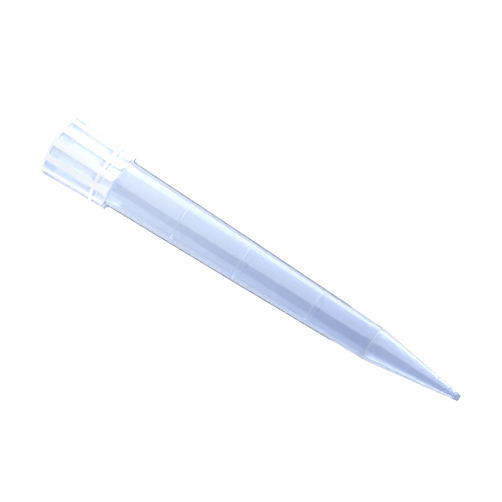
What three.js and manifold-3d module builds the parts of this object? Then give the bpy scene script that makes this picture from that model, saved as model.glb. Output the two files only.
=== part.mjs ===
// A 1000 microlitre pipette tip: one thin-walled polypropylene moulding with a ribbed collar.
// Millimetres. +Z runs along the tip's axis, from the open rim at z = 0 to the fine end on top.
// The tip stands on its rim. One of the twelve ribs faces straight down the -Y axis.

import * as THREE from "three";
import { mergeVertices } from "three/addons/utils/BufferGeometryUtils.js";
import Module from "manifold-3d";

// ---- Driving dimensions ----

const LENGTH = 71.5;
const FACETS = 72;

// The collar that the rack and the nozzle hold: a slightly conical sleeve with ribs outside.
const RIM_RADIUS = 4.93;
const COLLAR_LENGTH = 11.0;
const COLLAR_END_RADIUS = 4.5;
const RIM_EDGE = 0.1;

// The sleeve's own surface, which is the floor between the ribs.
const SLEEVE_RIM_RADIUS = 4.28;
const SLEEVE_END_RADIUS = 3.95;
const SLEEVE_RUNOUT = 0.2;

// The ribs run the length of the collar, with parallel flanks and a rounded lower end.
const RIB_COUNT = 12;
const RIB_WIDTH = 1.15;
const RIB_END_RADIUS = 0.36;

// Hoops that join the ribs: the rim, a broad hoop, and a fine one close above the shoulder.
// Each gap between two hoops is a row of recesses, open between the ribs.
const RIM_HOOP_END = 0.4;
const BROAD_HOOP = { start: 8.25, end: 8.95 };
const FINE_HOOP = { start: 9.35, end: 9.55 };

// The barrel below the collar: two very slight tapers, then a groove where the fine cone starts.
const BARREL_START_RADIUS = 3.84;
const BARREL_WAIST = { z: 33.4, radius: 3.38 };
const CONE_START = 56.6;
const CONE_START_RADIUS = 2.78;
const GROOVE = { width: 0.36, depth: 0.07, side: 0.06 };

// The fine end, cut square.
const END_RADIUS = 0.52;
const ORIFICE_RADIUS = 0.36;

// Low graduation rings round the barrel, at about 750, 500 and 250 microlitres.
const GRADUATIONS = [22.4, 33.4, 46.2];
const RING = { width: 0.24, height: 0.05, side: 0.05 };

// The socket that takes the pipette's nozzle, the short funnel behind it, and the bore.
const MOUTH_RADIUS = 4.08;
const MOUTH_LEAD_IN = 0.5;
const SOCKET_RIM_RADIUS = 3.86;
const SOCKET_END_RADIUS = 3.45;
const SOCKET_LENGTH = 10.9;
const FUNNEL_LENGTH = 1.6;
const BORE_START_RADIUS = 3.07;
const BORE_END_RADIUS = 2.15;

// How far a cutting shape reaches past the surface it cuts.
const CLEARANCE = 0.6;

// ---- Geometry helpers ----

const wasm = await Module();
wasm.setup();

/** A closed outline of [radius, z] pairs turned once about Z, with its outer side listed upwards. */
function revolve(outline) {
  const points = [...outline, outline[0]].map(([radius, z]) => new THREE.Vector2(radius, z));
  return new THREE.LatheGeometry(points, FACETS).rotateX(Math.PI / 2);
}

/** The geometry as a solid that can be joined and cut. */
function solidOf(geometry) {
  const bare = geometry.clone();
  bare.deleteAttribute("normal");
  bare.deleteAttribute("uv");
  const merged = mergeVertices(bare);
  const vertProperties = new Float32Array(merged.attributes.position.array);
  const triVerts = new Uint32Array(merged.index.array);
  return new wasm.Manifold(new wasm.Mesh({ numProp: 3, vertProperties, triVerts }));
}

/** The solid as geometry again, with flat-shaded normals. */
function geometryOf(solid) {
  const { vertProperties, triVerts } = solid.getMesh();
  const geometry = new THREE.BufferGeometry();
  geometry.setAttribute("position", new THREE.BufferAttribute(vertProperties, 3));
  geometry.setIndex(new THREE.BufferAttribute(triVerts, 1));
  const faceted = geometry.toNonIndexed();
  faceted.computeVertexNormals();
  return faceted;
}

/** The value at z on the straight line from (z0, r0) to (z1, r1). */
function along(z, z0, r0, z1, r1) {
  return THREE.MathUtils.mapLinear(z, z0, z1, r0, r1);
}

/** The collar's outer radius, over the ribs and hoops, at height z. */
function collarRadius(z) {
  return along(z, 0, RIM_RADIUS, COLLAR_LENGTH, COLLAR_END_RADIUS);
}

/** The sleeve's radius between the ribs at height z. */
function sleeveRadius(z) {
  return along(z, 0, SLEEVE_RIM_RADIUS, COLLAR_LENGTH, SLEEVE_END_RADIUS);
}

/** The barrel's outer radius at height z, without its rings. */
function barrelRadius(z) {
  if (z < BARREL_WAIST.z) {
    return along(z, COLLAR_LENGTH, BARREL_START_RADIUS, BARREL_WAIST.z, BARREL_WAIST.radius);
  }
  return along(z, BARREL_WAIST.z, BARREL_WAIST.radius, CONE_START, CONE_START_RADIUS);
}

// ---- The turned blank ----

/** One low graduation ring: up its side, along its crest and down again. */
function graduationRing(z) {
  const foot = RING.width / 2;
  const crest = foot - RING.side;
  return [
    [barrelRadius(z - foot), z - foot],
    [barrelRadius(z) + RING.height, z - crest],
    [barrelRadius(z) + RING.height, z + crest],
    [barrelRadius(z + foot), z + foot],
  ];
}

/** The groove that parts the barrel from the fine cone. */
function coneGroove() {
  const start = CONE_START - GROOVE.width;
  const floor = CONE_START_RADIUS - GROOVE.depth;
  return [
    [barrelRadius(start), start],
    [floor, start + GROOVE.side],
    [floor, CONE_START - GROOVE.side],
    [CONE_START_RADIUS, CONE_START],
  ];
}

/** The moulding's wall, with the collar still plain and full. */
function blank() {
  const collarEnd = COLLAR_LENGTH + SLEEVE_RUNOUT;
  const outside = [
    [RIM_RADIUS - RIM_EDGE, 0],
    [collarRadius(RIM_EDGE), RIM_EDGE],
    [collarRadius(collarEnd), collarEnd],
    [barrelRadius(collarEnd), collarEnd],
    ...GRADUATIONS.flatMap(graduationRing),
    ...coneGroove(),
    [END_RADIUS, LENGTH],
  ];
  const inside = [
    [ORIFICE_RADIUS, LENGTH],
    [BORE_END_RADIUS, CONE_START],
    [BORE_START_RADIUS, SOCKET_LENGTH + FUNNEL_LENGTH],
    [SOCKET_END_RADIUS, SOCKET_LENGTH],
    [SOCKET_RIM_RADIUS, MOUTH_LEAD_IN],
    [MOUTH_RADIUS, 0],
  ];
  return solidOf(revolve([...outside, ...inside]));
}

// ---- The collar's ribs and recesses ----

/** A rib's outline, seen from outside the collar: parallel flanks and a rounded lower end. */
function ribOutline() {
  const half = RIB_WIDTH / 2;
  const round = RIB_END_RADIUS;
  const outline = new THREE.Shape();
  outline.moveTo(-half, -CLEARANCE);
  outline.lineTo(half, -CLEARANCE);
  outline.lineTo(half, COLLAR_LENGTH - round);
  outline.absarc(half - round, COLLAR_LENGTH - round, round, 0, Math.PI / 2, false);
  outline.lineTo(round - half, COLLAR_LENGTH);
  outline.absarc(round - half, COLLAR_LENGTH - round, round, Math.PI / 2, Math.PI, false);
  outline.closePath();
  return outline;
}

/** A straight bar that stands out from the axis past the collar, with a rib's outline. */
function ribBar() {
  const depth = RIM_RADIUS + CLEARANCE;
  const bar = new THREE.ExtrudeGeometry(ribOutline(), { depth, bevelEnabled: false, curveSegments: 4 });
  const tangent = new THREE.Vector3(0, 1, 0);
  const up = new THREE.Vector3(0, 0, 1);
  const outward = new THREE.Vector3(1, 0, 0);
  return bar.applyMatrix4(new THREE.Matrix4().makeBasis(tangent, up, outward));
}

/** A row of recesses from one hoop to the next, as a full ring outside the sleeve. */
function recessRing(start, end) {
  return solidOf(
    revolve([
      [sleeveRadius(start), start],
      [collarRadius(start) + CLEARANCE, start],
      [collarRadius(end) + CLEARANCE, end],
      [sleeveRadius(end), end],
    ]),
  );
}

/** All the recesses: each ring of them, less the twelve ribs that cross it. */
function recesses() {
  const rings = [
    recessRing(RIM_HOOP_END, BROAD_HOOP.start),
    recessRing(BROAD_HOOP.end, FINE_HOOP.start),
    recessRing(FINE_HOOP.end, COLLAR_LENGTH + CLEARANCE),
  ];
  let cut = rings.reduce((joined, ring) => joined.add(ring));
  for (let i = 0; i < RIB_COUNT; i++) {
    const bar = ribBar().rotateZ((i * 2 * Math.PI) / RIB_COUNT);
    cut = cut.subtract(solidOf(bar));
  }
  return cut;
}

// ---- The finished tip ----

const polypropylene = new THREE.MeshStandardMaterial({
  name: "tinted_polypropylene",
  color: 0x8fb6e6,
  roughness: 0.28,
  metalness: 0,
  transparent: true,
  opacity: 0.7,
  flatShading: true,
});

const tip = new THREE.Mesh(geometryOf(blank().subtract(recesses())), polypropylene);
tip.name = "pipette_tip";

const part = new THREE.Group();
part.name = "pipette_tip_part";
part.add(tip);

export default part;
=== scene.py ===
# %% [markdown]
# # A pipette tip in tinted polypropylene
#
# A pipette tip is one thin moulding: a ribbed collar, a long slightly tapered barrel and a fine cone. The
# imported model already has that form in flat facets. This lesson turns the same form into a smooth surface
# with numpy, gives it a translucent blue plastic, and lights it so that the wall, the ribs and the rings
# all read.

import math

import bpy
import numpy as np
from mathutils import Matrix, Vector


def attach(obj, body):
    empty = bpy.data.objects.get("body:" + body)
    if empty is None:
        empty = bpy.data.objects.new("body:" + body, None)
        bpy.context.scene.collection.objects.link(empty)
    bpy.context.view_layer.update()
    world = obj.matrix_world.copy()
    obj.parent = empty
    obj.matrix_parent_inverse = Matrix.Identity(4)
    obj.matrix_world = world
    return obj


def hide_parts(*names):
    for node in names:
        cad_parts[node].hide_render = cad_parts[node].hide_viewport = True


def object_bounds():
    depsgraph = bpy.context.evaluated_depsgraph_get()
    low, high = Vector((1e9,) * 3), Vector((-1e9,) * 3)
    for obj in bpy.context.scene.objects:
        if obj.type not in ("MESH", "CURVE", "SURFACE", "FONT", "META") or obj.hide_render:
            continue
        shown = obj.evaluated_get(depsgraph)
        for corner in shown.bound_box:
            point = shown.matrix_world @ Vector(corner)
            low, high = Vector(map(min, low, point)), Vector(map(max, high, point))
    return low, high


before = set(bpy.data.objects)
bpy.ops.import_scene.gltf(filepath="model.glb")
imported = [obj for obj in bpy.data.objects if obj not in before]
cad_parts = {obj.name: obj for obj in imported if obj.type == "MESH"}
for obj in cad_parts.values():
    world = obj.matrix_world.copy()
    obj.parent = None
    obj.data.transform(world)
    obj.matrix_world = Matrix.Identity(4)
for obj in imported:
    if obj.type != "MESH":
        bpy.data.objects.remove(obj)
cad_low, cad_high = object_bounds()

NODE = "pipette_tip"
MM = 0.001
LENGTH = cad_high.z
print("packed model:", [round(v / MM, 2) for v in (*cad_low, *cad_high)], "mm")

# %% [markdown]
# ## The camera
#
# A long lens far away keeps the sides of small laboratory ware nearly parallel. The tip stands on its rim
# here, and the camera is rolled instead: the tip then lies across the picture from the upper left to the
# lower right. A camera could be turned by angles one after the other, but three directions are simpler to
# check: where its right side, its top and its back point.

# %% Place the long lens
CAMERA_ELEVATION = math.radians(11.2)
CAMERA_ROLL = math.radians(122.34)
CAMERA_DISTANCE = 0.95
FIELD_WIDTH = 0.0745
AIM = Vector((-0.00193, 0.0, 0.0333))
SENSOR_WIDTH_MM = 36.0
NEAREST, FARTHEST = 0.05, 20.0


def rolled_camera_matrix(aim, distance, elevation, roll):
    """The camera's world matrix. Its back points away from the aim, towards -Y and up by the elevation.
    Its right side is the level sideways direction turned by the roll towards the upright one, and its top
    is square to both."""
    back = Vector((0.0, -math.cos(elevation), math.sin(elevation)))
    level = Vector((1.0, 0.0, 0.0))
    upright = back.cross(level)
    right = level * math.cos(roll) + upright * math.sin(roll)
    top = back.cross(right)
    turn = Matrix((right, top, back)).transposed().to_4x4()
    return Matrix.Translation(aim + back * distance) @ turn


camera_data = bpy.data.cameras.new("camera")
camera_data.sensor_width = SENSOR_WIDTH_MM
camera_data.lens = SENSOR_WIDTH_MM * CAMERA_DISTANCE / FIELD_WIDTH
camera_data.clip_start = NEAREST
camera_data.clip_end = FARTHEST
camera = bpy.data.objects.new("camera", camera_data)
camera.matrix_world = rolled_camera_matrix(AIM, CAMERA_DISTANCE, CAMERA_ELEVATION, CAMERA_ROLL)
bpy.context.scene.collection.objects.link(camera)
bpy.context.scene.camera = camera
print("lens:", round(camera_data.lens), "mm")

# %% [markdown]
# ## A grid surface from numpy
#
# Everything on the tip is turned about one axis, so the whole moulding is one sheet of points: each row
# is a height along the wall, each column an angle round the axis. The wall goes up the outside, over the
# fine end and down the bore, so the last row joins the first, and the last column joins the first. A
# Screw modifier could turn a profile too, but it can't raise ribs, and this sheet has no seam, no pole
# and no open edge.

# %% Helpers for stations and for a closed grid


def stations(start, stretches):
    """Values from the start through each stretch's end, where a stretch is an end and its number of even
    steps."""
    values = [start]
    for end, steps in stretches:
        values.extend(np.linspace(values[-1], end, steps + 1)[1:])
    return np.array(values)


def smooth_step(x):
    """0 below 0, 1 above 1, and 3x^2 - 2x^3 in between, which starts and ends level."""
    x = np.clip(x, 0.0, 1.0)
    return x * x * (3.0 - 2.0 * x)


def closed_grid_object(name, points):
    """A mesh from an array of points (rows, columns, 3) whose rows and columns both close on themselves.
    Each square joins a point to its neighbours in the next row and the next column."""
    rows, columns = points.shape[:2]
    index = np.arange(rows * columns).reshape(rows, columns)
    row_on = np.roll(index, -1, axis=0)
    column_on = np.roll(index, -1, axis=1)
    both_on = np.roll(row_on, -1, axis=1)
    quads = np.stack([index, column_on, both_on, row_on], axis=-1).reshape(-1, 4)
    mesh = bpy.data.meshes.new(name)
    mesh.from_pydata(points.reshape(-1, 3), [], quads)
    mesh.polygons.foreach_set("use_smooth", np.ones(len(quads), bool))
    mesh.update()
    made = bpy.data.objects.new(name, mesh)
    bpy.context.scene.collection.objects.link(made)
    return made


# %% [markdown]
# ## The collar
#
# The collar is what a hand, a rack and the pipette's ejector touch. Twelve ribs run down it, and three
# hoops join them: the rim, a broad hoop and a fine one. Between them the surface drops to the thin
# sleeve. Raised shapes like these could be cut with booleans, but a height above the sleeve, worked out
# for every point, keeps one clean grid. The height comes from the distance to the nearest raised edge:
# full inside it, none outside it, and a short rounded flank between.

# %% The collar's sizes and its ribs
RIM_RADIUS = 4.93 * MM
COLLAR_LENGTH = 11.0 * MM
COLLAR_END_RADIUS = 4.5 * MM
SLEEVE_RIM_RADIUS = 4.28 * MM
SLEEVE_END_RADIUS = 3.95 * MM
RIB_COUNT = 12
RIB_HALF_WIDTH = 0.575 * MM
RIB_END_RADIUS = 0.36 * MM
# Each hoop's start and end. The rim's hoop starts below the rim, so that it has no lower flank.
HOOPS = ((-1.0 * MM, 0.4 * MM), (8.25 * MM, 8.95 * MM), (9.35 * MM, 9.55 * MM))
FLANK = 0.07 * MM


def collar_radius(z):
    """The radius over ribs and hoops: a straight line from the rim to the collar's end."""
    return RIM_RADIUS + (COLLAR_END_RADIUS - RIM_RADIUS) * z / COLLAR_LENGTH


def sleeve_radius(z):
    """The radius between the ribs: a straight line too."""
    return SLEEVE_RIM_RADIUS + (SLEEVE_END_RADIUS - SLEEVE_RIM_RADIUS) * z / COLLAR_LENGTH


def rib_distance(angle, z):
    """How far outside the nearest rib's outline a point lies, as the distance to a rectangle with a
    rounded end: the length of what is left of the two offsets past the rounding's centre, less the
    rounding's radius. Where both offsets are negative, the larger one stands in for the length."""
    pitch = 2.0 * np.pi / RIB_COUNT
    off_rib = (angle + pitch / 2.0) % pitch - pitch / 2.0
    across = np.abs(collar_radius(z) * np.sin(off_rib)) - (RIB_HALF_WIDTH - RIB_END_RADIUS)
    down = z - (COLLAR_LENGTH - RIB_END_RADIUS)
    outside = np.hypot(np.maximum(across, 0.0), np.maximum(down, 0.0))
    inside = np.minimum(np.maximum(across, down), 0.0)
    return outside + inside - RIB_END_RADIUS


def raised_distance(angle, z):
    """How far outside the nearest rib or hoop a point lies, negative inside one: the smallest of their
    distances."""
    distance = rib_distance(angle, z)
    for start, end in HOOPS:
        distance = np.minimum(distance, np.maximum(start - z, z - end))
    return distance


def ribbed_radius(angle, z):
    """The sleeve's radius plus the ribs' height, which is full on ribs and hoops and falls across the
    flank."""
    share = 1.0 - smooth_step(raised_distance(angle, z) / FLANK)
    return sleeve_radius(z) + (collar_radius(z) - sleeve_radius(z)) * share


print("rib height at the rim:", round((RIM_RADIUS - SLEEVE_RIM_RADIUS) / MM, 2), "mm")

# %% [markdown]
# ## The barrel, its rings and the fine cone
#
# Below the collar the wall is a plain surface of revolution. Three low rings mark volumes, and a narrow
# groove parts the barrel from the cone. They could be separate hoops laid round the barrel, but on the
# real moulding they are part of the wall, so here they are small changes of its radius: the rings are
# half a wave of a cosine, and the groove is a rounded dip.

# %% The barrel's sizes and its outline
BARREL_START_RADIUS = 3.84 * MM
SHOULDER_DROP = 0.3 * MM
WAIST_HEIGHT = 33.4 * MM
WAIST_RADIUS = 3.38 * MM
CONE_HEIGHT = 56.6 * MM
CONE_RADIUS = 2.78 * MM
END_RADIUS = 0.52 * MM
RING_HEIGHTS = (22.4 * MM, 33.4 * MM, 46.2 * MM)
RING_WIDTH = 0.26 * MM
RING_RISE = 0.03 * MM
GROOVE_WIDTH = 0.36 * MM
GROOVE_DEPTH = 0.06 * MM
GROOVE_FLAT = 0.5
GROOVE_MIDDLE = CONE_HEIGHT - GROOVE_WIDTH / 2.0


def ring_share(z):
    """1 on the crest of each ring, falling to 0 at its feet as the square of a cosine."""
    share = np.zeros_like(z)
    for height in RING_HEIGHTS:
        across = np.clip((z - height) / (RING_WIDTH / 2.0), -1.0, 1.0)
        share = share + np.cos(across * np.pi / 2.0) ** 2
    return share


def barrel_radius(z):
    """Straight tapers between four heights, plus the rings, less a groove that is flat for a middle
    share of its width and rounded at its sides. Over the shoulder's drop it comes down from the
    sleeve's radius along a smooth step."""
    heights = (COLLAR_LENGTH, WAIST_HEIGHT, CONE_HEIGHT, LENGTH)
    radii = (BARREL_START_RADIUS, WAIST_RADIUS, CONE_RADIUS, END_RADIUS)
    radius = np.interp(z, heights, radii) + RING_RISE * ring_share(z)
    from_middle = np.abs(z - GROOVE_MIDDLE) / (GROOVE_WIDTH / 2.0)
    side = (from_middle - GROOVE_FLAT) / (1.0 - GROOVE_FLAT)
    radius = radius - GROOVE_DEPTH * (1.0 - smooth_step(side))
    dropped = smooth_step((z - COLLAR_LENGTH - FLANK) / SHOULDER_DROP)
    return sleeve_radius(z) + (radius - sleeve_radius(z)) * dropped


ring_radii = barrel_radius(np.array(RING_HEIGHTS))
print("radius over the rings:", [round(r / MM, 2) for r in ring_radii], "mm")

# %% [markdown]
# ## The socket and the bore
#
# The pipette's nozzle seals in a tapered socket inside the collar. A short funnel ends it, and from there
# the bore narrows slowly to the groove and then quickly to the orifice. A plain cylinder would do for an
# opaque tube, but light passes through both walls here, so the bore matters to the look as much as the
# outside does.

# %% The bore's outline
MOUTH_RADIUS = 4.08 * MM
LEAD_IN = 0.5 * MM
SOCKET_RIM_RADIUS = 3.86 * MM
SOCKET_END_RADIUS = 3.45 * MM
SOCKET_LENGTH = 10.9 * MM
FUNNEL_LENGTH = 1.6 * MM
FUNNEL_END = SOCKET_LENGTH + FUNNEL_LENGTH
BORE_START_RADIUS = 3.07 * MM
BORE_END_RADIUS = 2.15 * MM
ORIFICE_RADIUS = 0.36 * MM


def bore_radius(z):
    """The inside: straight tapers from the mouth's lead-in through socket, funnel, bore and cone."""
    heights = (0.0, LEAD_IN, SOCKET_LENGTH, FUNNEL_END, CONE_HEIGHT, LENGTH)
    socket_radii = (MOUTH_RADIUS, SOCKET_RIM_RADIUS, SOCKET_END_RADIUS)
    bore_radii = (BORE_START_RADIUS, BORE_END_RADIUS, ORIFICE_RADIUS)
    return np.interp(z, heights, socket_radii + bore_radii)


print("wall in the barrel:", round((WAIST_RADIUS - bore_radius(WAIST_HEIGHT)) / MM, 2), "mm")

# %% [markdown]
# ## Where the rows and columns go
#
# Even steps would need a very fine grid to catch a flank of seven hundredths of a millimetre. So the
# columns crowd together at the ribs' flanks and spread out between them, and the rows crowd at the hoops'
# edges, at the rings and at the groove. Where nothing happens a long quad is enough, because its normals
# are smooth.

# %% Columns: the same steps in each half of a rib's sector, mirrored
# Every rib's flank, at the rim and at the collar's end, lies between these two angles in degrees.
FLANK_FROM, FLANK_TO = 6.2, 9.0
HALF_PITCH = 180.0 / RIB_COUNT

half_sector = np.radians(stations(0.0, [(FLANK_FROM, 3), (FLANK_TO, 8), (HALF_PITCH, 3)]))
sector = np.concatenate([half_sector, 2.0 * half_sector[-1] - half_sector[-2:0:-1]])
angles = np.add.outer(np.arange(RIB_COUNT) * 2.0 * np.pi / RIB_COUNT, sector).ravel()
print("columns:", len(angles))

# %% Rows of the outside
RIM_EDGE = 0.1 * MM
END_EDGE = 0.03 * MM
MIDDLE_OF_RECESS = 4.0 * MM
ROUNDING_MARGIN = 0.1 * MM
ROUNDING_START = COLLAR_LENGTH - RIB_END_RADIUS - ROUNDING_MARGIN
END_MARGIN = 0.02 * MM
SHOULDER = COLLAR_LENGTH + FLANK


def across_hoop(hoop):
    """The stretches that cross a hoop: up to its lower flank, up the flank, over its crest and down
    again."""
    start, end = hoop
    return [(start - FLANK, 4), (start, 4), (end, 3), (end + FLANK, 4)]


def across_rings(steps_between, steps_over):
    """The stretches up to each graduation ring and over it."""
    half = RING_WIDTH / 2.0
    pairs = [((z - half, steps_between), (z + half, steps_over)) for z in RING_HEIGHTS]
    return [stretch for pair in pairs for stretch in pair]


rim_hoop, broad_hoop, fine_hoop = HOOPS
collar_rows = stations(
    RIM_EDGE,
    [
        (rim_hoop[1], 2),
        (rim_hoop[1] + FLANK, 4),
        (MIDDLE_OF_RECESS, 8),
        *across_hoop(broad_hoop),
        *across_hoop(fine_hoop),
        (ROUNDING_START, 4),
        (COLLAR_LENGTH - END_MARGIN, 8),
        (SHOULDER, 6),
    ],
)
barrel_rows = stations(
    SHOULDER,
    [
        (SHOULDER + SHOULDER_DROP, 4),
        *across_rings(7, 10),
        (CONE_HEIGHT - GROOVE_WIDTH, 8),
        (CONE_HEIGHT, 12),
        (LENGTH - END_EDGE, 14),
    ],
)[1:]
print("rows outside:", len(collar_rows) + len(barrel_rows))

# %% Rows of the inside, from the orifice down to the rim
SHADE_PAST_RIBS = 0.3 * MM

bore_rows = stations(
    END_EDGE,
    [
        (LEAD_IN, 3),
        (broad_hoop[0] - FLANK, 6),
        (fine_hoop[1] + FLANK, 14),
        (ROUNDING_START, 4),
        (SOCKET_LENGTH, 5),
        (COLLAR_LENGTH + SHADE_PAST_RIBS, 6),
        (FUNNEL_END, 2),
        *across_rings(5, 6),
        (CONE_HEIGHT, 6),
        (LENGTH - END_EDGE, 14),
    ],
)[::-1]
print("rows inside:", len(bore_rows))

# %% [markdown]
# ## Where the plastic looks milky, and where light is painted
#
# One number from 0 to 1 says how pale each point of the wall is: partly the plastic's milk and partly
# painted light. The ribs, the hoops, the rim and the sleeve between them are nearly white, with painted
# light on the collar. The barrel is clear. Each ring and the groove carry a painted pale highlight, and
# the bore carries painted highlight lines behind each rib's outline and each ring. Vertex paint could
# mark that by hand. A number worked out from the same distances as the shape stays true when a size
# changes. The flanks stay clearer than the crests, which draws each rib's outline.

# %% How pale each point of the wall is: milk and painted light
CREST_EDGE = 0.06 * MM
# Partly the sleeve's milk, partly painted light that makes the collar pale.
SLEEVE_MILK_AND_LIGHT = 0.82
SLEEVE_FADE = (10.9 * MM, 11.2 * MM)
# Painted highlights: a pale line on each ring, and a pale band in the groove.
RING_PAINTED_HIGHLIGHT = 0.6
GROOVE_PAINTED_HIGHLIGHT = 0.6
GROOVE_BLUR = 0.15 * MM
# Painted highlight lines on the bore, behind each rib's outline and behind each ring.
RIB_OUTLINE_HIGHLIGHT_BLUR = 0.1 * MM
RING_BACK_PAINTED_HIGHLIGHT = 1.0


def collar_milk_and_light(angle, z):
    """The sleeve's share, which fades at the shoulder, and from there up to 1 across each crest's edge.
    Both are partly milk and partly painted light on the collar."""
    faded = smooth_step((z - SLEEVE_FADE[0]) / (SLEEVE_FADE[1] - SLEEVE_FADE[0]))
    sleeve = SLEEVE_MILK_AND_LIGHT * (1.0 - faded)
    crest = smooth_step(-raised_distance(angle, z) / CREST_EDGE)
    return sleeve + (1.0 - sleeve) * crest


def barrel_painted_highlights(z):
    """A painted highlight: faint on each ring, and in the groove a bell curve of the distance from its
    middle.
    """
    return RING_PAINTED_HIGHLIGHT * ring_share(z) + GROOVE_PAINTED_HIGHLIGHT * np.exp(-(((z - GROOVE_MIDDLE) / GROOVE_BLUR) ** 2))


def bore_painted_highlights(angle, z):
    """Painted highlight lines on the bore: behind each rib's outline, a bell curve of the distance from it,
    plus the share behind each ring."""
    rib_outline_highlight = np.exp(-((rib_distance(angle, z) / RIB_OUTLINE_HIGHLIGHT_BLUR) ** 2))
    return np.minimum(rib_outline_highlight + RING_BACK_PAINTED_HIGHLIGHT * ring_share(z), 1.0)


print("milk on a ring's crest:", round(barrel_painted_highlights(np.array([RING_HEIGHTS[0]]))[0], 2))

# %% [markdown]
# ## One sheet for the whole moulding
#
# The four stretches of wall are now put one after the other: the rim's rounded corner, the collar, the
# barrel and the bore. A solid tube and a cut-out bore could make the same wall, but one closed sheet
# can't leave a gap.

# %% Radius, height and paleness of every point
CORNER_STEPS = 5


def rim_corner():
    """Radii and heights along a quarter wave from the flat rim to the collar's side: the radius moves as
    a sine and the height as one less a cosine, so the curve leaves flat and arrives steep."""
    turn = np.linspace(0.0, np.pi / 2.0, CORNER_STEPS, endpoint=False)
    inner = RIM_RADIUS - RIM_EDGE
    return inner + (collar_radius(RIM_EDGE) - inner) * np.sin(turn), RIM_EDGE * (1.0 - np.cos(turn))


def turned(values):
    """The same value in every column, one row for each value."""
    return np.repeat(values[:, None], len(angles), axis=1)


def moulding_sheet():
    """Arrays (rows, columns) of the radius, height and paleness, milk and painted light, along the closed
    wall. The fine end is flat, with both of its edges broken by the same small amount."""
    around = angles[None, :]
    rim_r, rim_z = rim_corner()
    collar_z = collar_rows[:, None]
    barrel_z = np.append(barrel_rows, LENGTH)
    barrel_r = barrel_radius(barrel_z)
    barrel_r[-1] -= END_EDGE
    bore_z = np.concatenate([[LENGTH], bore_rows, [0.0]])
    bore_r = bore_radius(bore_z)
    bore_r[0] += END_EDGE
    radii = [turned(rim_r), ribbed_radius(around, collar_z), turned(barrel_r), turned(bore_r)]
    heights = [turned(rim_z), turned(collar_rows), turned(barrel_z), turned(bore_z)]
    # The rim's corner is fully pale: milk and painted light.
    rim_milk_and_light = turned(np.ones_like(rim_z))
    outer_milk_and_light = [rim_milk_and_light, collar_milk_and_light(around, collar_z), turned(barrel_painted_highlights(barrel_z))]
    paleness = [*outer_milk_and_light, bore_painted_highlights(around, bore_z[:, None])]
    return np.concatenate(radii), np.concatenate(heights), np.concatenate(paleness)


sheet_r, sheet_z, sheet_milk_and_light = moulding_sheet()
sheet = np.stack([sheet_r * np.cos(angles), sheet_r * np.sin(angles), sheet_z], axis=-1)
tip = closed_grid_object("moulded_tip", sheet)
# Each point's paleness, milk and painted light, goes into an attribute.
milk_and_light_layer = tip.data.attributes.new("milk_and_painted_light", "FLOAT", "POINT")
milk_and_light_layer.data.foreach_set("value", sheet_milk_and_light.ravel().astype(np.float32))
print("moulded tip:", len(tip.data.polygons) * 2, "triangles")
print("greatest radius:", round(sheet_r.max() / MM, 3), "mm")

# %% [markdown]
# ## Tinted polypropylene
#
# Polypropylene is never as clear as glass. Its crystals scatter some light, so the wall shows a milky
# blue of its own and lets only a part of what is behind it through. Glass with a tint would miss the
# milk, and subsurface scattering is slow in so thin a wall. A Principled shader's transmission does
# both: it is the share that passes straight on, and the rest is the milky surface. A clear coat gives
# the smooth mould's gloss, and a Volume Absorption darkens the long slanting paths through the pigment
# at the tube's edges.

# %% A helper for shader nodes


def node(tree, kind, **values):
    """A new shader node of this kind, with the named properties and input sockets set. An underscore
    stands for the space in a socket's name."""
    made = tree.nodes.new(kind)
    for key, value in values.items():
        if hasattr(made, key):
            setattr(made, key, value)
        else:
            made.inputs[key.replace("_", " ")].default_value = value
    return made


# %% [markdown]
# ## One tint, with painted light and shade along the height
#
# A moulding holds the same pigment everywhere. Here the colour along the height also paints light and
# shade: a darker band just above the rim, a nearly white collar, then greyer and deeper down the barrel,
# deepest just before the groove and a little lighter on the cone. A scattering volume would be slow and
# noisy in so thin a wall. A ramp of colours along the height says this in a few stops.

# %% The tint, with painted light and shade, from the rim to the fine end
# A nearly white collar: painted light over the pale blue plastic.
COLLAR_TINT_AND_PAINTED_LIGHT = (0.93, 0.955, 0.99, 1.0)
# Each stop is a share of the tip's length and the colour there, with painted light and shade in it.
TINT_AND_PAINTED_LIGHT_STOPS = (
    (0.026, (0.80, 0.87, 0.98, 1.0)),
    (0.032, COLLAR_TINT_AND_PAINTED_LIGHT),
    (0.15, COLLAR_TINT_AND_PAINTED_LIGHT),
    (0.16, (0.78, 0.80, 0.84, 1.0)),
    (0.45, (0.62, 0.67, 0.77, 1.0)),
    (0.78, (0.48, 0.55, 0.70, 1.0)),
    (0.8, (0.56, 0.62, 0.75, 1.0)),
    (1.0, (0.52, 0.59, 0.76, 1.0)),
)


def tint_and_painted_light_along_height(tree, coordinates):
    """The tint with its painted light and shade at a share of the tip's length: height over length, looked
    up in a ramp of stops.
    """
    height = node(tree, "ShaderNodeSeparateXYZ")
    tree.links.new(coordinates.outputs["Object"], height.inputs["Vector"])
    share = node(tree, "ShaderNodeMapRange", From_Max=LENGTH)
    tree.links.new(height.outputs["Z"], share.inputs["Value"])
    tint = node(tree, "ShaderNodeValToRGB")
    stops = tint.color_ramp.elements
    # A new ramp has two stops: one goes, and the other becomes the first of ours.
    stops.remove(stops[0])
    stops[0].position, stops[0].color = TINT_AND_PAINTED_LIGHT_STOPS[0]
    for place, shade in TINT_AND_PAINTED_LIGHT_STOPS[1:]:
        stops.new(place).color = shade
    tree.links.new(share.outputs["Result"], tint.inputs["Fac"])
    return tint.outputs["Color"]


print("tint stops at", [round(place * LENGTH / MM, 1) for place, _ in TINT_AND_PAINTED_LIGHT_STOPS], "mm")

# %% [markdown]
# ## What the paleness changes: milk and painted light
#
# Where the wall is pale, it lets less light straight through, hides the tint under a white that is
# partly painted light, and feels rougher.
# A second material on the ribs would end in a hard edge. Three node groups that read the same number fade
# from clear to milky together: the colour, the transmission and the roughness. A faint mottling in the
# roughness keeps the clear wall from looking like polished glass.

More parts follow.
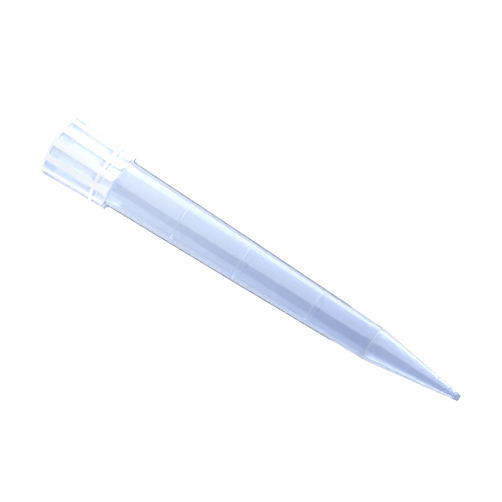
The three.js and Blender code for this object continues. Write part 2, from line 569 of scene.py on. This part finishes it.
# %% Colour, transmission and roughness from the paleness
# The crests' white: partly milk, partly painted light.
CREST_MILK_AND_LIGHT_COLOUR = (0.97, 0.985, 1.0, 1.0)
CREST_START = 0.88
CLEAR_TRANSMISSION = 0.78
MILKY_TRANSMISSION = 0.1
CLEAR_ROUGHNESS = (0.02, 0.06)
MILKY_ROUGHNESS = 0.15
MOTTLES_PER_METRE = 420.0


def wall_colour(tree, coordinates, paleness):
    """The tint, and over the last part of the paleness a blend to the crests' white, which is partly
    painted light. In a Mix node for colours, inputs 6 and 7 are the two colours and output 2 is the blend."""
    crest = node(tree, "ShaderNodeMapRange", From_Min=CREST_START)
    tree.links.new(paleness.outputs["Fac"], crest.inputs["Value"])
    colour = node(tree, "ShaderNodeMix", data_type="RGBA")
    tree.links.new(crest.outputs["Result"], colour.inputs["Factor"])
    tree.links.new(tint_and_painted_light_along_height(tree, coordinates), colour.inputs[6])
    colour.inputs[7].default_value = CREST_MILK_AND_LIGHT_COLOUR
    return colour.outputs[2]


def wall_transmission(tree, paleness):
    """A straight fall from the clear share at no paleness to the milky share at full."""
    clear = node(tree, "ShaderNodeMapRange", To_Min=CLEAR_TRANSMISSION, To_Max=MILKY_TRANSMISSION)
    tree.links.new(paleness.outputs["Fac"], clear.inputs["Value"])
    return clear.outputs["Result"]


def wall_roughness(tree, coordinates, paleness):
    """A fine mottling between two low values, plus the paleness times the roughness that full paleness
    adds."""
    mottle = node(tree, "ShaderNodeTexNoise", Scale=MOTTLES_PER_METRE, Detail=3.0, Roughness=0.5)
    tree.links.new(coordinates.outputs["Object"], mottle.inputs["Vector"])
    low, high = CLEAR_ROUGHNESS
    smooth = node(tree, "ShaderNodeMapRange", To_Min=low, To_Max=high)
    tree.links.new(mottle.outputs["Fac"], smooth.inputs["Value"])
    rough = node(tree, "ShaderNodeMath", operation="MULTIPLY_ADD")
    rough.inputs[1].default_value = MILKY_ROUGHNESS
    tree.links.new(paleness.outputs["Fac"], rough.inputs[0])
    tree.links.new(smooth.outputs["Result"], rough.inputs[2])
    return rough.outputs["Value"]


print("roughness from", CLEAR_ROUGHNESS[0], "to", CLEAR_ROUGHNESS[1] + MILKY_ROUGHNESS)

# %% The plastic
POLYPROPYLENE_IOR = 1.49
COAT_ROUGHNESS = 0.2
DEPTH_COLOUR = (0.35, 0.58, 0.93, 1.0)
DEPTH_DENSITY = 250.0
SHADOW_TINT = (0.80, 0.88, 0.97, 1.0)


def tinted_polypropylene():
    """Milky blue plastic. Lamps' light passes it tinted, so the tip's shadow is pale blue and its inside
    is lit."""
    material = bpy.data.materials.new("tinted_polypropylene")
    material.use_nodes = True
    tree = material.node_tree
    shader = tree.nodes["Principled BSDF"]
    shader.inputs["IOR"].default_value = POLYPROPYLENE_IOR
    shader.inputs["Coat Weight"].default_value = 1.0
    shader.inputs["Coat Roughness"].default_value = COAT_ROUGHNESS
    coordinates = node(tree, "ShaderNodeTexCoord")
    paleness = node(tree, "ShaderNodeAttribute", attribute_name="milk_and_painted_light")
    tree.links.new(wall_colour(tree, coordinates, paleness), shader.inputs["Base Color"])
    tree.links.new(wall_transmission(tree, paleness), shader.inputs["Transmission Weight"])
    tree.links.new(wall_roughness(tree, coordinates, paleness), shader.inputs["Roughness"])
    path = node(tree, "ShaderNodeLightPath")
    through = node(tree, "ShaderNodeBsdfTransparent", Color=SHADOW_TINT)
    mix = node(tree, "ShaderNodeMixShader")
    tree.links.new(path.outputs["Is Shadow Ray"], mix.inputs[0])
    tree.links.new(shader.outputs["BSDF"], mix.inputs[1])
    tree.links.new(through.outputs["BSDF"], mix.inputs[2])
    absorption = node(tree, "ShaderNodeVolumeAbsorption", Color=DEPTH_COLOUR, Density=DEPTH_DENSITY)
    output = tree.nodes["Material Output"]
    tree.links.new(mix.outputs["Shader"], output.inputs["Surface"])
    tree.links.new(absorption.outputs["Volume"], output.inputs["Volume"])
    return material


tip.data.materials.append(tinted_polypropylene())
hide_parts(NODE)
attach(tip, "root")
print("plastic:", len(tip.data.materials[0].node_tree.nodes), "nodes")

# %% [markdown]
# ## Floor and background
#
# The tip is shown on plain white. A white that came from light would bleach the plastic, so the floor and
# the sky are simply white to the camera and to rays that come through or off the plastic, and dim to
# everything else.

# %% White to look at, dim as a light
AMBIENT = 0.45
FLOOR_HALF_WIDTH = 3.0
FLOOR_GREY = (0.8, 0.8, 0.8, 1.0)
FLOOR_GLOW = 1.15
FLOOR_GLOW_SHARE = 0.85
WHITE = (1.0, 1.0, 1.0, 1.0)


def seen_directly(tree):
    """1 for camera, glossy and transmission rays, and 0 for the rest, as a clamped sum of the three."""
    path = node(tree, "ShaderNodeLightPath")
    first = node(tree, "ShaderNodeMath", operation="ADD", use_clamp=True)
    both = node(tree, "ShaderNodeMath", operation="ADD", use_clamp=True)
    tree.links.new(path.outputs["Is Camera Ray"], first.inputs[0])
    tree.links.new(path.outputs["Is Glossy Ray"], first.inputs[1])
    tree.links.new(first.outputs["Value"], both.inputs[0])
    tree.links.new(path.outputs["Is Transmission Ray"], both.inputs[1])
    return both.outputs["Value"]


def white_world():
    """A world that looks white and lights with the ambient strength."""
    world = bpy.data.worlds.new("studio")
    world.use_nodes = True
    tree = world.node_tree
    tree.nodes.clear()
    light = node(tree, "ShaderNodeBackground", Color=WHITE, Strength=AMBIENT)
    look = node(tree, "ShaderNodeBackground", Color=WHITE, Strength=1.0)
    mix = node(tree, "ShaderNodeMixShader")
    output = node(tree, "ShaderNodeOutputWorld")
    tree.links.new(seen_directly(tree), mix.inputs[0])
    tree.links.new(light.outputs["Background"], mix.inputs[1])
    tree.links.new(look.outputs["Background"], mix.inputs[2])
    tree.links.new(mix.outputs["Shader"], output.inputs["Surface"])
    bpy.context.scene.world = world


def pale_floor_material():
    """Plain pale matt, mixed with a glow by a set share for the rays that see it directly. The floor
    looks white that way and still takes the tip's shadow."""
    material = bpy.data.materials.new("pale_floor")
    material.use_nodes = True
    tree = material.node_tree
    shader = tree.nodes["Principled BSDF"]
    shader.inputs["Base Color"].default_value = FLOOR_GREY
    shader.inputs["Roughness"].default_value = 1.0
    shader.inputs["Specular IOR Level"].default_value = 0.0
    glow = node(tree, "ShaderNodeEmission", Color=WHITE, Strength=FLOOR_GLOW)
    share = node(tree, "ShaderNodeMath", operation="MULTIPLY")
    share.inputs[1].default_value = FLOOR_GLOW_SHARE
    tree.links.new(seen_directly(tree), share.inputs[0])
    mix = node(tree, "ShaderNodeMixShader")
    tree.links.new(share.outputs["Value"], mix.inputs[0])
    tree.links.new(shader.outputs["BSDF"], mix.inputs[1])
    tree.links.new(glow.outputs["Emission"], mix.inputs[2])
    tree.links.new(mix.outputs["Shader"], tree.nodes["Material Output"].inputs["Surface"])
    return material


def flat_square(name, corners, material):
    """A single square of the studio with this material."""
    mesh = bpy.data.meshes.new(name)
    mesh.from_pydata(corners, [], [(0, 1, 2, 3)])
    mesh.materials.append(material)
    made = bpy.data.objects.new(name, mesh)
    bpy.context.scene.collection.objects.link(made)
    return made


half = FLOOR_HALF_WIDTH
floor_corners = [(-half, -half, 0.0), (half, -half, 0.0), (half, half, 0.0), (-half, half, 0.0)]
floor = flat_square("floor", floor_corners, pale_floor_material())
white_world()
print("floor:", 2.0 * FLOOR_HALF_WIDTH, "m wide")

# %% [markdown]
# ## Near panels for the gloss
#
# The long pale bands on the barrel are mirror images of lamps. A round wall squeezes what it mirrors, so
# a lamp across the room would be a thin bright thread. Panels only a few centimetres off and taller than
# the tip give bands as broad as a third of the barrel, each from one azimuth to another. Their feet stand
# below the floor, so that no lamp's end shows as a break in a band, and they lean sideways, because on a
# tapered wall a band then drifts across as it climbs. The side and fill panels show in the gloss alone:
# as lamps they would burn out the collar, which is pale already.

# %% Panels that stand close round the tip
PANEL_DISTANCE = 0.055
PANEL_FOOT = 0.006
PANEL_BELOW = 0.03
PANEL_HEIGHT = 0.14


def around_tip(azimuth, distance, height):
    """A place at this distance and height, turned by the azimuth in degrees from the camera's side
    towards -X."""
    turn = math.radians(azimuth)
    return Vector((-math.sin(turn) * distance, -math.cos(turn) * distance, height))


def area_lamp(name, width, height, radiance, matrix):
    """A rectangular lamp that the camera doesn't see. Its face gives off pi times its radiance times its
    area, in watts."""
    data = bpy.data.lights.new(name, "AREA")
    data.shape = "RECTANGLE"
    data.size = width
    data.size_y = height
    data.energy = math.pi * radiance * width * height
    lamp = bpy.data.objects.new(name, data)
    lamp.matrix_world = matrix
    bpy.context.scene.collection.objects.link(lamp)
    lamp.visible_camera = False
    return lamp


def soft_panel(name, edges, lean, radiance):
    """A near upright lamp between two azimuths in degrees, turned to face the tip, leaning sideways from
    its foot. Its width is the distance times the tangent of its half angle, twice."""
    middle = (edges[0] + edges[1]) / 2.0
    width = 2.0 * PANEL_DISTANCE * math.tan(math.radians(edges[1] - edges[0]) / 2.0)
    away = around_tip(middle, 1.0, 0.0)
    onward = around_tip(middle + 90.0, 1.0, 0.0)
    tilt = math.radians(lean)
    upright = Vector((0.0, 0.0, 1.0)) * math.cos(tilt) + onward * math.sin(tilt)
    turn = Matrix((upright.cross(away), upright, away)).transposed().to_4x4()
    foot = around_tip(middle, PANEL_DISTANCE, PANEL_FOOT)
    place = Matrix.Translation(foot + upright * (PANEL_HEIGHT / 2.0 - PANEL_BELOW))
    print(name, "is", round(width / MM), "mm wide")
    return area_lamp(name, width, PANEL_HEIGHT, radiance, place @ turn)


soft_panel("main_panel", edges=(-4.0, 71.0), lean=22.0, radiance=1.45)
soft_panel("low_panel", edges=(-120.0, -76.0), lean=-17.0, radiance=0.2)
side_panel = soft_panel("side_panel", edges=(71.0, 108.0), lean=22.0, radiance=2.2)
fill_panel = soft_panel("fill_panel", edges=(-76.0, -42.0), lean=-17.0, radiance=0.7)
side_panel.visible_diffuse = False
fill_panel.visible_diffuse = False

# %% [markdown]
# ## Far lamps for the milky surfaces
#
# The collar is brightest along its two sides. Larger near panels would light it, but they would also
# mirror in the barrel and the cone. So two square lamps stand further off, face the lower part of the
# tip, and are left out of the gloss.

# %% One far lamp on each side
FAR_DISTANCE = 0.42
FAR_HEIGHT = 0.04
FAR_SIZE = 0.3
FAR_AIM = Vector((0.0, 0.0, 0.02))


def far_lamp(name, azimuth, radiance):
    """A square lamp at this azimuth, turned to face the aim."""
    place = around_tip(azimuth, FAR_DISTANCE, FAR_HEIGHT)
    turn = (place - FAR_AIM).to_track_quat("Z", "Y").to_matrix().to_4x4()
    lamp = area_lamp(name, FAR_SIZE, FAR_SIZE, radiance, Matrix.Translation(place) @ turn)
    lamp.visible_glossy = False
    print(name, "gives", round(lamp.data.energy, 2), "W")


far_lamp("key_lamp", azimuth=95.0, radiance=3.6)
far_lamp("rear_lamp", azimuth=-103.0, radiance=6.0)

# %% [markdown]
# ## A dark card for the outlines
#
# A clear tube on white almost disappears at its edges, where it mirrors the white behind it. Studios
# stand a black card behind the glass, just out of the picture, and the edges mirror that instead. This
# card does the same: only the gloss sees it.

# %% The card behind the tip
CARD_COLOUR = (0.04, 0.055, 0.1, 1.0)
CARD_HALF_WIDTH = 0.025
CARD_DISTANCE = 0.03
CARD_LOW = 0.0045
CARD_TOP = 0.045


def card_material():
    """A plain dark surface that looks the same under any lamp."""
    material = bpy.data.materials.new("dark_card")
    material.use_nodes = True
    tree = material.node_tree
    tree.nodes.remove(tree.nodes["Principled BSDF"])
    glow = node(tree, "ShaderNodeEmission", Color=CARD_COLOUR, Strength=1.0)
    tree.links.new(glow.outputs["Emission"], tree.nodes["Material Output"].inputs["Surface"])
    return material


card_edges = ((-CARD_HALF_WIDTH, CARD_LOW), (CARD_HALF_WIDTH, CARD_LOW))
card_corners = [(x, CARD_DISTANCE, z) for x, z in card_edges]
card_corners += [(x, CARD_DISTANCE, CARD_TOP) for x, _ in reversed(card_edges)]
card = flat_square("dark_card", card_corners, card_material())
card.visible_camera = False
card.visible_diffuse = False
card.visible_shadow = False
card.visible_transmission = False
print("card:", round((CARD_TOP - CARD_LOW) / MM, 1), "mm tall")

# %% [markdown]
# ## Colours as they are written
#
# A film-like view transform rolls bright colours off, and the plain white round the tip would turn grey.
# The Standard one shows each colour as it is written, and white as white.

# %% Set the view transform
bpy.context.scene.view_settings.view_transform = "Standard"
print("view transform:", bpy.context.scene.view_settings.view_transform)
